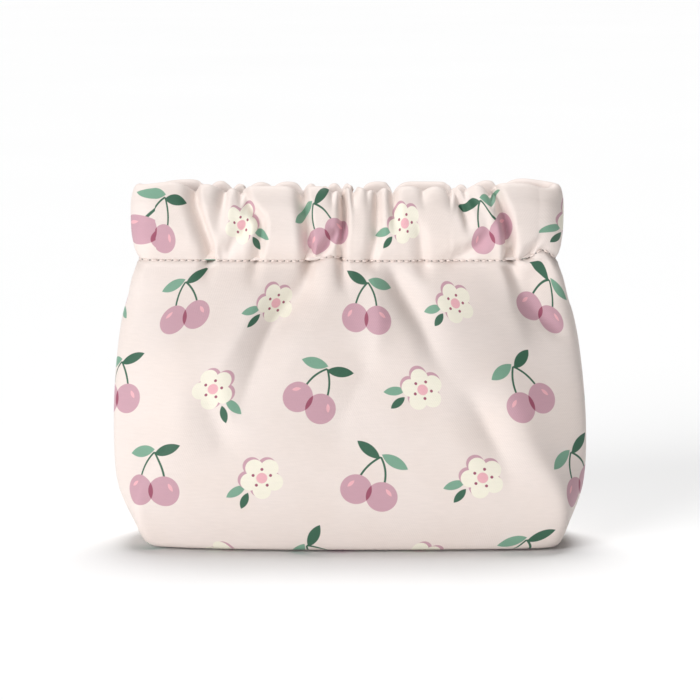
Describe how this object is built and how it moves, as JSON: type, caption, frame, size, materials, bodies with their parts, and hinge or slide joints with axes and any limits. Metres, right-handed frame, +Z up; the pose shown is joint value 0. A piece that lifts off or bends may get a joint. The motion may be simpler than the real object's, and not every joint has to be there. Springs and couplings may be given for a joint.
{
  "type": "cosmetic pouch",
  "caption": "Small cloth cosmetic pouch with a boxed base and a self-closing mouth: gathered casings hold a hidden flat spring frame.",
  "frame": {"origin": "middle of the base, on the face that the pouch stands on", "axes": "+Z up, +X to the right along the mouth as seen from the front, the front faces -Y"},
  "size_m": [0.1345, 0.0444, 0.1039],
  "materials": {
    "body_cloth": "smooth pale pink polyester, printed",
    "casing_cloth": "smooth pale pink polyester, printed, gathered",
    "spring_steel": "plain spring steel band"
  },
  "bodies": {
    "root": {"pouch_body": "body_cloth", "front_casing": "casing_cloth", "back_casing": "casing_cloth", "spring_frame": "spring_steel"}
  },
  "joints": []
}
